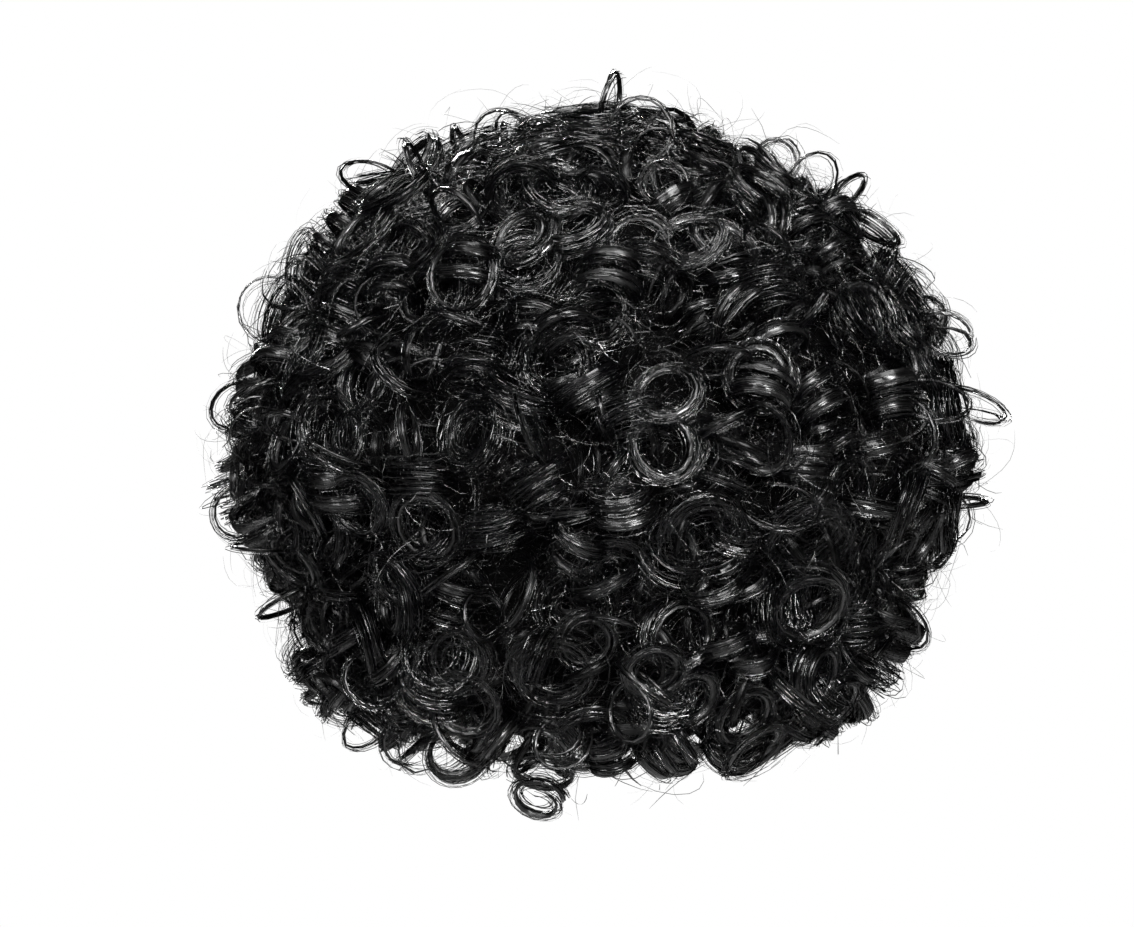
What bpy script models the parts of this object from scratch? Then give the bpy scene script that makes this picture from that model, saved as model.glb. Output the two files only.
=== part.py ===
"""Curly wig in the shape it takes when worn: a net cap with six sections of ringlets sewn to it.

Metres, +Z up, the wearer's face towards -Y. The origin is where the crown of the head meets the inside of the cap.
Every shape is worked out from the middle of the head, straight below the origin. A direction from there is a polar
angle, 0 straight up, and a turn, 0 at the face and 180 at the back, the same to the left and to the right.
"""

import math
from collections import namedtuple

import bmesh
import bpy
from mathutils import Matrix, Vector

# The head that the cap is made for
HEAD_RISE = 0.085  # from the middle of the head up to its crown
HEAD_HALF_WIDTH = 0.078
HEAD_TO_FOREHEAD = 0.099
HEAD_TO_BACK = 0.101
HEAD_TO_JAW = 0.112  # down to where the head narrows into the neck
NECK_HALF_WIDTH = 0.062
NECK_TO_THROAT = 0.046
NECK_TO_NAPE = 0.076

# The cap
CAP_WALL = 0.002
SEAT_GAP = 0.0009  # from the corners of the cap to those of the hair sewn to it; their flat faces come to 0.3 mm
SEAM_GAP = 0.0004  # between neighbouring sections of hair

# The hair's main form, without the ringlets that stand on it
TOP_REACH = 0.167
SIDE_REACH = 0.167
BACK_REACH = 0.163
FRONT_REACH = 0.136
DROP_REACH = 0.149
NAPE_REACH = 0.184  # takes the place of DROP_REACH straight behind, where the hair hangs lowest

# One ringlet
RINGLET_RADIUS = 0.0150  # to the middle of the lock of hair that makes it
LOCK_RADIUS = 0.0047
RINGLET_PITCH = 0.0495  # between neighbours in a row, and between rows
RINGLET_SIDES = 8
LOCK_SIDES = 4
STANDING_LIFT = 0.0110  # how far the middle of a standing ringlet is off the hair's main form
SLOPE_ROOM = 0.003  # how far the form's slope tips a lifted ringlet towards a neighbouring section
EDGE_INSET = 0.013  # how far in from a free edge the middle of a ringlet that hangs over it lies

# The angles that one face of the cap or of a section spans at most, round the head and from top to bottom
TURN_STEP = math.radians(15)
ROW_STEP = math.radians(12)
CAP_ROWS = 7

# Where the cap's edge runs, as polar angles: forehead, temple tab, over the ear, nape
RimPoint = namedtuple("RimPoint", "turn polar")
CAP_RIM = (
    RimPoint(0, 67),
    RimPoint(30, 70),
    RimPoint(60, 106),
    RimPoint(75, 106),
    RimPoint(90, 95),
    RimPoint(110, 101),
    RimPoint(135, 121),
    RimPoint(180, 127),
)

# Where the hair ends over the neck and shoulders
HairHem = namedtuple("HairHem", "turn polar")
HAIR_HEM = (
    HairHem(0, 130),
    HairHem(45, 133),
    HairHem(90, 141),
    HairHem(120, 145),
    HairHem(180, 147),
)

# The photograph's outline against a plain ellipsoid of the reaches above
Fullness = namedtuple("Fullness", "polar share")
FULLNESS = (
    Fullness(0, 1.000),
    Fullness(22, 0.992),
    Fullness(50, 0.989),
    Fullness(88, 0.987),
    Fullness(108, 0.917),
    Fullness(130, 0.944),
    Fullness(150, 0.925),
)

CROWN_EDGE = math.radians(36)
FRINGE_TURN = math.radians(45)
SIDE_TURN = math.radians(120)
NAPE_TOP = math.radians(99)
FRINGE_END = math.radians(69)  # where the fringe leaves the forehead
FRINGE_DROP = math.radians(82)  # where its overhanging ends are
CHEEK_TURN = math.radians(59)  # where the hair leaves the cheek
CHEEK_FORWARD_TURN = math.radians(47)  # where its outer edge is, nearer to the face

# How each ringlet in turn lies: its lean from flat on the hair to standing on edge
Lie = namedtuple("Lie", "lean lift")
LIES = (
    Lie(lean=math.radians(8), lift=0.0),
    Lie(lean=math.radians(88), lift=1.0),
    Lie(lean=math.radians(24), lift=0.4),
    Lie(lean=math.radians(62), lift=0.9),
    Lie(lean=math.radians(0), lift=0.0),
    Lie(lean=math.radians(40), lift=0.7),
)
GOLDEN_TURN = math.pi * (3 - math.sqrt(5))  # headings that never repeat

HAIR_COLOUR = (0.012, 0.012, 0.013, 1.0)
NET_COLOUR = (0.020, 0.018, 0.018, 1.0)

Section = namedtuple("Section", "name side top bottom front rear free_bottom free_front")


def read_table(rows, turn):
    """The second column of a table at an angle, in degrees of its first column, eased between rows."""
    at = math.degrees(turn)
    if at <= rows[0][0]:
        return rows[0][1]
    for low, high in zip(rows, rows[1:]):
        if at <= high[0]:
            share = (at - low[0]) / (high[0] - low[0])
            eased = share * share * (3 - 2 * share)
            return low[1] + (high[1] - low[1]) * eased
    return rows[-1][1]


def steps_over(angle, largest):
    """How many equal steps, none above the largest, cover an angle."""
    return math.ceil(angle / largest - 0.01)


def blend(start, end, share):
    return start + (end - start) * share


def smooth_step(start, end, at):
    share = min(1.0, max(0.0, (at - start) / (end - start)))
    return share * share * (3 - 2 * share)


def head_centre():
    return Vector((0, 0, -HEAD_RISE))


def direction(polar, turn):
    """The unit vector at a polar angle and a turn from the face."""
    return Vector((math.sin(polar) * math.sin(turn), -math.sin(polar) * math.cos(turn), math.cos(polar)))


def ellipsoid_reach(way, up, down, side, front, back):
    """How far an ellipsoid with five half-axes reaches from its middle along a unit vector."""
    height = up if way.z > 0 else down
    depth = front if way.y < 0 else back
    return 1 / math.sqrt((way.z / height) ** 2 + (way.x / side) ** 2 + (way.y / depth) ** 2)


def head_reach(polar, turn):
    way = direction(polar, turn)
    return ellipsoid_reach(way, HEAD_RISE, HEAD_TO_JAW, HEAD_HALF_WIDTH, HEAD_TO_FOREHEAD, HEAD_TO_BACK)


def neck_reach(polar, turn):
    """How far the neck's upright column reaches, or 0 where the direction points above the jaw."""
    if polar <= math.radians(91):
        return 0.0
    level = direction(math.pi / 2, turn)
    depth = NECK_TO_THROAT if level.y < 0 else NECK_TO_NAPE
    column = 1 / math.sqrt((level.x / NECK_HALF_WIDTH) ** 2 + (level.y / depth) ** 2)
    return column / math.sin(polar)


def inner_reach(polar, turn):
    """The inside of the hair: clear of the cap's corners, then of the neck."""
    faces_round_it = 1 / math.cos(ROW_STEP / 2)
    over_cap = (head_reach(polar, turn) + CAP_WALL) * faces_round_it + SEAT_GAP
    return max(over_cap, neck_reach(polar, turn))


def outer_reach(polar, turn):
    """The outside of the hair's main form."""
    way = direction(polar, turn)
    drop_reach = blend(DROP_REACH, NAPE_REACH, max(0.0, -math.cos(turn)) ** 2)
    plain = ellipsoid_reach(way, TOP_REACH, drop_reach, SIDE_REACH, FRONT_REACH, BACK_REACH)
    return plain * read_table(FULLNESS, polar)


def hair_point(polar, turn, depth):
    """A point of the hair, from depth 0 inside it to 1 on its outside."""
    reach = blend(inner_reach(polar, turn), outer_reach(polar, turn), depth)
    return head_centre() + direction(polar, turn) * reach


def seam_angle(polar):
    """Half the gap between two sections side by side, as a turn at the inside of the hair."""
    return SEAM_GAP / 2 / (HEAD_RISE * math.sin(polar))


def seam_tilt():
    """Half the gap between two sections one above the other, as a polar angle at the inside of the hair."""
    return SEAM_GAP / 2 / HEAD_RISE


def front_turn(section, polar, depth):
    """Where a section begins, seen from the face: at a neighbour, or round the open face."""
    if not section.free_front:
        return section.front + seam_angle(polar)
    edge = blend(CHEEK_TURN, CHEEK_FORWARD_TURN, depth)
    below_fringe = smooth_step(FRINGE_END, FRINGE_DROP + math.radians(8), polar)
    return blend(section.front + seam_angle(polar), edge, below_fringe)


def bottom_polar(section, turn, depth):
    """Where a section ends below: at a neighbour, over the forehead, or at the hem."""
    if not section.free_bottom:
        return section.bottom - seam_tilt()
    if section.bottom:
        return blend(section.bottom, FRINGE_DROP, depth)
    return math.radians(read_table(HAIR_HEM, turn))


def section_angles(section, across, down, depth):
    """The polar angle and turn at shares across and down a section."""
    top = section.top + seam_tilt()
    rear_turn = section.rear - seam_angle(section.top)
    rough_turn = blend(section.front, section.rear, across)
    polar = blend(top, bottom_polar(section, abs(rough_turn), depth), down)
    turn = blend(front_turn(section, polar, depth), rear_turn, across)
    return polar, section.side * turn


def finish(mesh, name, colour, roughness):
    """A named object with its own material, from a bmesh."""
    data = bpy.data.meshes.new(name)
    mesh.to_mesh(data)
    mesh.free()
    made = bpy.data.objects.new(name, data)
    bpy.context.scene.collection.objects.link(made)
    material = bpy.data.materials.new(name)
    material.use_nodes = True
    shader = material.node_tree.nodes["Principled BSDF"]
    shader.inputs["Base Color"].default_value = colour
    shader.inputs["Roughness"].default_value = roughness
    shader.inputs["Metallic"].default_value = 0.0
    data.materials.append(material)
    return made


def spun_disc(outline):
    """A flat disc, or a slab of one, from its outline on +X spun about the middle."""
    mesh = bmesh.new()
    corners = [mesh.verts.new(point) for point in outline]
    for first, second in zip(corners, corners[1:]):
        mesh.edges.new((first, second))
    bmesh.ops.spin(
        mesh,
        geom=mesh.verts[:] + mesh.edges[:],
        cent=(0, 0, 0),
        axis=(0, 0, 1),
        angle=2 * math.pi,
        steps=steps_over(2 * math.pi, TURN_STEP),
        use_merge=True,
    )
    bmesh.ops.remove_doubles(mesh, verts=mesh.verts[:], dist=1e-6)
    return mesh


def turn_faces_outwards(mesh):
    """Makes each face of a shell round the head point away from its middle."""
    for face in mesh.faces:
        face.normal_update()
        if face.normal.dot(face.calc_center_median() - head_centre()) < 0:
            face.normal_flip()


def unit_slab(columns, rows):
    """A slab one unit each way, from a grid extruded upwards."""
    mesh = bmesh.new()
    bmesh.ops.create_grid(
        mesh, x_segments=columns, y_segments=rows, size=0.5, matrix=Matrix.Translation((0.5, 0.5, 0))
    )
    raised = bmesh.ops.extrude_face_region(mesh, geom=mesh.faces[:])["geom"]
    corners = [item for item in raised if isinstance(item, bmesh.types.BMVert)]
    bmesh.ops.translate(mesh, verts=corners, vec=(0, 0, 1))
    return mesh


def make_cap():
    """The net cap: a disc bent to the head down to its rim, with the wall outside it."""
    mesh = spun_disc([(row / CAP_ROWS, 0, 0) for row in range(CAP_ROWS + 1)])
    for corner in mesh.verts:
        share = math.hypot(corner.co.x, corner.co.y)
        turn = math.atan2(corner.co.x, -corner.co.y)
        polar = share * math.radians(read_table(CAP_RIM, abs(turn)))
        corner.co = head_centre() + direction(polar, turn) * head_reach(polar, turn)
    turn_faces_outwards(mesh)
    cap = finish(mesh, "cap", NET_COLOUR, 0.8)
    wall = cap.modifiers.new("wall", "SOLIDIFY")
    wall.thickness = CAP_WALL
    wall.offset = 1.0
    wall.use_even_offset = True
    return cap


def make_crown_form():
    """The main form of the crown section, round the top of the head."""
    rows = steps_over(CROWN_EDGE, ROW_STEP)
    outside = [(row / rows, 0, 1) for row in range(rows + 1)]
    inside = [(row / rows, 0, 0) for row in reversed(range(rows + 1))]
    mesh = spun_disc(outside + inside)
    edge = CROWN_EDGE - seam_tilt()
    for corner in mesh.verts:
        polar = min(1.0, math.hypot(corner.co.x, corner.co.y)) * edge
        turn = math.atan2(corner.co.x, -corner.co.y)
        corner.co = hair_point(polar, turn, corner.co.z)
    bmesh.ops.recalc_face_normals(mesh, faces=mesh.faces[:])
    return finish(mesh, "crown_curls", HAIR_COLOUR, 0.45)


def make_section_form(section):
    """The main form of a section: a slab bent round the head."""
    middle = (abs(section.front) + abs(section.rear)) / 2
    columns = steps_over(section.rear - section.front, TURN_STEP)
    rows = steps_over(bottom_polar(section, middle, 1) - section.top, ROW_STEP)
    mesh = unit_slab(columns, rows)
    for corner in mesh.verts:
        across, down, depth = corner.co
        corner.co = hair_point(*section_angles(section, across, down, depth), depth)
    bmesh.ops.recalc_face_normals(mesh, faces=mesh.faces[:])
    return finish(mesh, section.name, HAIR_COLOUR, 0.45)


def ringlet_mesh():
    """One ringlet: a lock of hair curled into a ring about its own Z."""
    bpy.ops.mesh.primitive_torus_add(
        major_radius=RINGLET_RADIUS,
        minor_radius=LOCK_RADIUS,
        major_segments=RINGLET_SIDES,
        minor_segments=LOCK_SIDES,
    )
    made = bpy.context.object
    data = made.data
    data.name = "ringlet"
    bpy.data.objects.remove(made)
    return data


def surface_normal(polar, turn):
    """The outward normal of the hair's main form."""
    step = math.radians(1)
    down = hair_point(polar + step, turn, 1) - hair_point(polar - step, turn, 1)
    across = hair_point(polar, turn + step, 1) - hair_point(polar, turn - step, 1)
    normal = down.cross(across).normalized()
    return normal if normal.dot(direction(polar, turn)) > 0 else -normal


def place_ringlet(collection, shape, polar, turn, order):
    """Sets one ringlet on the hair. The order picks how it lies and which way it heads."""
    lie = LIES[order % len(LIES)]
    normal = surface_normal(polar, turn)
    spot = hair_point(polar, turn, 1) + normal * (lie.lift * STANDING_LIFT)
    upright = normal.to_track_quat("Z", "Y")
    heading = Matrix.Rotation(order * GOLDEN_TURN, 4, "Z")
    lean = Matrix.Rotation(lie.lean, 4, "X")
    ringlet = bpy.data.objects.new(f"{collection.name}_{order:02d}", shape)
    ringlet.matrix_world = Matrix.Translation(spot) @ upright.to_matrix().to_4x4() @ heading @ lean
    ringlet.hide_render = True
    ringlet.display_type = "WIRE"
    collection.objects.link(ringlet)


def ringlet_room():
    """How far a ringlet's middle stays from a neighbouring section."""
    return RINGLET_RADIUS + LOCK_RADIUS + SEAM_GAP + SLOPE_ROOM


def spread(length):
    """Shares of a length for a row of ringlets, end to end, about a pitch apart."""
    gaps = max(1, round(length / RINGLET_PITCH))
    return [place / gaps for place in range(gaps + 1)]


def crown_places():
    """Polar angle and turn of each ringlet on the crown: one on top, then rings round it."""
    reach = outer_reach(0, 0)
    edge = CROWN_EDGE - ringlet_room() / reach
    rings = max(1, round(edge * reach / RINGLET_PITCH))
    places = [(0.0, 0.0)]
    for ring in range(1, rings + 1):
        polar = edge * ring / rings
        count = math.floor(2 * math.pi * reach * math.sin(polar) / RINGLET_PITCH)
        places += [(polar, 2 * math.pi * (number + 0.5 * ring) / count) for number in range(count)]
    return places


def section_places(section):
    """Polar angle and turn of each ringlet on a section, in rows staggered like brickwork."""
    reach = SIDE_REACH
    room = ringlet_room() / reach
    middle = (abs(section.front) + abs(section.rear)) / 2
    top = section.top + room
    bottom = bottom_polar(section, middle, 1) - (EDGE_INSET / reach if section.free_bottom else room)
    places = []
    for row, down in enumerate(spread((bottom - top) * reach)):
        polar = blend(top, bottom, down)
        side_room = room / math.sin(polar)
        free = section.free_front and polar > FRINGE_DROP + 2 * room
        edge_room = EDGE_INSET / reach / math.sin(polar)
        start = front_turn(section, polar, 1) + (edge_room if free else side_room)
        end = section.rear - side_room
        length = (end - start) * math.sin(polar) * reach
        shares = spread(length)
        if row % 2 and len(shares) > 2:
            shares = [(first + second) / 2 for first, second in zip(shares, shares[1:])]
        places += [(polar, section.side * blend(start, end, share)) for share in shares]
    return places


def add_ringlets(form, places, shape, first):
    """Fuses ringlets to a section's main form."""
    collection = bpy.data.collections.new(f"{form.name}_ringlets")
    bpy.context.scene.collection.children.link(collection)
    for number, (polar, turn) in enumerate(places):
        place_ringlet(collection, shape, polar, turn, first + number)
    fuse = form.modifiers.new("ringlets", "BOOLEAN")
    fuse.operation = "UNION"
    fuse.operand_type = "COLLECTION"
    fuse.collection = collection
    fuse.solver = "EXACT"


def all_sections():
    """The five sections below the crown. A side section is made once and turned to either side."""
    sections = [
        Section("fringe_curls", 1, CROWN_EDGE, FRINGE_END, -FRINGE_TURN, FRINGE_TURN, True, False),
        Section("back_curls", 1, CROWN_EDGE, NAPE_TOP, SIDE_TURN, 2 * math.pi - SIDE_TURN, False, False),
        Section("nape_curls", 1, NAPE_TOP, 0, SIDE_TURN, 2 * math.pi - SIDE_TURN, True, False),
    ]
    for name, side in (("left_curls", 1), ("right_curls", -1)):
        sections.append(Section(name, side, CROWN_EDGE, 0, FRINGE_TURN, SIDE_TURN, True, True))
    return sections


def main():
    for old in list(bpy.data.objects):
        bpy.data.objects.remove(old)
    make_cap()
    shape = ringlet_mesh()
    places = crown_places()
    add_ringlets(make_crown_form(), places, shape, 0)
    count = len(places)
    for section in all_sections():
        places = section_places(section)
        add_ringlets(make_section_form(section), places, shape, count)
        count += len(places)


main()
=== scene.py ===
"""Looks of the curly wig: ringlets of separate fibres over a dark inner layer, loose hairs and the net cap.

Metres in the frame's own axes: +Z up, the wearer's face towards -Y, the origin where the crown of the head
meets the inside of the cap. A direction from the middle of the head is a polar angle, 0 straight up, and a
turn, 0 at the face and 180 degrees at the back, positive towards the wearer's left.
"""

import logging
import math
from dataclasses import dataclass, field
from enum import Enum

import bpy
import numpy as np
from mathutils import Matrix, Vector, noise


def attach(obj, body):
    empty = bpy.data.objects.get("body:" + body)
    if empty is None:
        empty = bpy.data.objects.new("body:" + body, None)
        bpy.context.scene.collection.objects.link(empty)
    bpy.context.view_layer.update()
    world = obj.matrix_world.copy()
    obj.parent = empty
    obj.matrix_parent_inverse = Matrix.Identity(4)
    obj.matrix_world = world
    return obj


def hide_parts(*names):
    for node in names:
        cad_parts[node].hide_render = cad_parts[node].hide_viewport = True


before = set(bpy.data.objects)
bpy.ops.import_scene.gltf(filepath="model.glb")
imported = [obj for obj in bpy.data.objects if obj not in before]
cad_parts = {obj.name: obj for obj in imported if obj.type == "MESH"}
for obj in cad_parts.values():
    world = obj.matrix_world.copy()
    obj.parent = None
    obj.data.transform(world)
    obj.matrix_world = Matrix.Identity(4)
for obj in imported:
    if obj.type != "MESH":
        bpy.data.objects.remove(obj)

MM = 0.001
FULL_TURN = 2 * math.pi
GOLDEN_TURN = math.pi * (3 - math.sqrt(5))
PHOTO_SIZE = (1134, 927)
FIBRE_SLOT, LOCK_SLOT, SHADED_SLOT = 0, 1, 2
HEM_BOTTOM = 150
LOG = logging.getLogger("wig")

Array = np.ndarray


def linear_colour(code: str) -> tuple[float, float, float, float]:
    """Turns an sRGB hex colour into the linear values that a shader takes.

    Args:
        code: The colour as "#rrggbb".

    Returns:
        Linear red, green and blue, and an alpha of 1.
    """
    shares = [int(code[place : place + 2], 16) / 255 for place in (1, 3, 5)]
    red, green, blue = (
        share / 12.92 if share <= 0.04045 else ((share + 0.055) / 1.055) ** 2.4 for share in shares
    )
    return red, green, blue, 1.0


def new_material(name: str) -> tuple[bpy.types.Material, bpy.types.NodeTree, bpy.types.Node]:
    """Makes a material with a shader of its own.

    Args:
        name: The material's name.

    Returns:
        The material, its node tree and its shader node.
    """
    made = bpy.data.materials.new(name)
    made.use_nodes = True
    return made, made.node_tree, made.node_tree.nodes["Principled BSDF"]


def add_node(
    tree: bpy.types.NodeTree, kind: str, settings: dict | None = None, links: dict | None = None
) -> bpy.types.Node:
    """Adds a shader node with its settings and its links.

    Args:
        tree: The node tree that gets the node.
        kind: The node's type name.
        settings: Its properties, or its unlinked sockets by name or number, with their values.
        links: Its sockets by name or number, each with the output that feeds it.

    Returns:
        The new node.
    """
    node = tree.nodes.new(kind)
    for name, value in (settings or {}).items():
        if isinstance(name, str) and name in node.bl_rna.properties:
            setattr(node, name, value)
        else:
            node.inputs[name].default_value = value
    for name, output in (links or {}).items():
        tree.links.new(output, node.inputs[name])
    return node


def feed(tree: bpy.types.NodeTree, shader: bpy.types.Node, links: dict, values: dict) -> None:
    """Links outputs to a shader's sockets and sets others to values, each by the socket's name."""
    for name, output in links.items():
        tree.links.new(output, shader.inputs[name])
    for name, value in values.items():
        shader.inputs[name].default_value = value


def spread(
    tree: bpy.types.NodeTree, least: float, most: float, value: bpy.types.NodeSocket
) -> bpy.types.NodeSocket:
    """Maps a value from 0 to 1 onto a range, and gives the output that has it."""
    return add_node(
        tree, "ShaderNodeMapRange", {"To Min": least, "To Max": most}, {"Value": value}
    ).outputs["Result"]


def set_ramp(node: bpy.types.Node, stops: list[tuple[float, str]]) -> None:
    """Gives a colour ramp its stops.

    Args:
        node: The ramp node.
        stops: Places from 0 to 1, each with an sRGB hex colour, in order.
    """
    steps = node.color_ramp.elements
    while len(steps) < len(stops):
        steps.new(1.0)
    for step, (place, code) in zip(steps, stops):
        step.position = place
        step.color = linear_colour(code)


def unit(vectors: Array) -> Array:
    """Vectors along the last axis, each made one long."""
    return vectors / np.maximum(np.linalg.norm(vectors, axis=-1, keepdims=True), 1e-12)


def eased(rows: tuple[tuple[float, float], ...], at: Array) -> Array:
    """The second column of a table at places in its first, eased from row to row.

    Args:
        rows: The table, in order of its first column.
        at: Where it is read.

    Returns:
        A value for each place.
    """
    places, values = (np.array(column, float) for column in zip(*rows))
    step = np.clip(np.searchsorted(places, at, side="right") - 1, 0, len(rows) - 2)
    share = np.clip((at - places[step]) / (places[step + 1] - places[step]), 0, 1)
    share = share * share * (3 - 2 * share)
    return values[step] + (values[step + 1] - values[step]) * share


@dataclass(frozen=True)
class HairForm:
    """The hair's main form round the head, as the solids have it, without the ringlets' own thickness."""

    head_rise: float = 85 * MM
    reach_up: float = 167 * MM
    reach_down: float = 149 * MM
    reach_nape: float = 184 * MM
    reach_side: float = 167 * MM
    reach_back: float = 163 * MM
    reach_front: float = 136 * MM
    head_up: float = 85 * MM
    head_down: float = 112 * MM
    head_side: float = 78 * MM
    head_back: float = 101 * MM
    head_front: float = 99 * MM
    neck_side: float = 62 * MM
    neck_back: float = 76 * MM
    neck_front: float = 46 * MM
    cap_wall: float = 3.6 * MM
    fullness: tuple[tuple[float, float], ...] = (
        (0, 1.000),
        (22, 0.992),
        (50, 0.989),
        (88, 0.987),
        (108, 0.917),
        (130, 0.944),
        (150, 0.925),
    )
    hem: tuple[tuple[float, float], ...] = ((0, 130), (45, 133), (90, 141), (120, 145), (180, 147))

    def way(self, polar: Array, turn: Array) -> Array:
        """Unit vectors at polar angles and turns, in radians."""
        level = np.sin(polar)
        return np.stack([level * np.sin(turn), -level * np.cos(turn), np.cos(polar) + 0 * turn], axis=-1)

    def ellipsoid(
        self, way: Array, up: float, down: float, side: float, front: float, back: float
    ) -> Array:
        """How far an ellipsoid of five half-axes reaches from its middle along unit vectors."""
        height = np.where(way[..., 2] > 0, up, down)
        depth = np.where(way[..., 1] < 0, front, back)
        shares = (way[..., 2] / height) ** 2 + (way[..., 0] / side) ** 2 + (way[..., 1] / depth) ** 2
        return 1 / np.sqrt(shares)

    def outer(self, polar: Array, turn: Array) -> Array:
        """How far the outside of the main form is from the middle of the head; it hangs lower at the back."""
        behind = np.maximum(0, -np.cos(turn)) ** 2
        plain = self.ellipsoid(
            self.way(polar, turn),
            self.reach_up,
            self.reach_down + (self.reach_nape - self.reach_down) * behind,
            self.reach_side,
            self.reach_front,
            self.reach_back,
        )
        return plain * eased(self.fullness, np.degrees(polar))

    def inner(self, polar: Array, turn: Array) -> Array:
        """How far the inside of the hair is from the head's middle: over the cap, then round the neck."""
        way = self.way(polar, turn)
        head = self.ellipsoid(
            way, self.head_up, self.head_down, self.head_side, self.head_front, self.head_back
        )
        level = unit(way * np.array([1, 1, 0]))
        depth = np.where(level[..., 1] < 0, self.neck_front, self.neck_back)
        column = 1 / np.sqrt((level[..., 0] / self.neck_side) ** 2 + (level[..., 1] / depth) ** 2)
        neck = np.where(polar > math.radians(91), column / np.maximum(np.sin(polar), 0.05), 0)
        return np.maximum(head + self.cap_wall, neck)

    def centre(self) -> Array:
        """The middle of the head."""
        return np.array([0, 0, -self.head_rise])

    def point(self, polar: Array, turn: Array, lift: float = 0.0) -> Array:
        """Points on the outside of the main form, or a lift off it."""
        reach = self.outer(polar, turn) + lift
        return self.centre() + self.way(polar, turn) * reach[..., None]

    def local_axes(self, polar: Array, turn: Array) -> tuple[Array, Array, Array]:
        """The outward normals of the form at places, the ways down along it, and the ways across."""
        step = math.radians(1)
        below, above = self.point(polar + step, turn), self.point(polar - step, turn)
        left, right = self.point(polar, turn + step), self.point(polar, turn - step)
        normal = unit(np.cross(below - above, left - right))
        inwards = np.sum(normal * self.way(polar, turn), axis=-1, keepdims=True) < 0
        normal = np.where(inwards, -normal, normal)
        down = unit(below - above)
        return normal, down, np.cross(normal, down)

    def hem_at(self, turn: Array) -> Array:
        """The polar angle at which the hair ends below."""
        return np.radians(eased(self.hem, np.degrees(np.abs(turn))))


class Lay(Enum):
    """How a ringlet lies on the hair."""

    END_ON = "its coil faces outwards"
    HANGING = "its coil hangs downwards"
    LOOSE = "its coil lies anyhow"
    STRAY = "a thin coil that stands off the rest"


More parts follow.
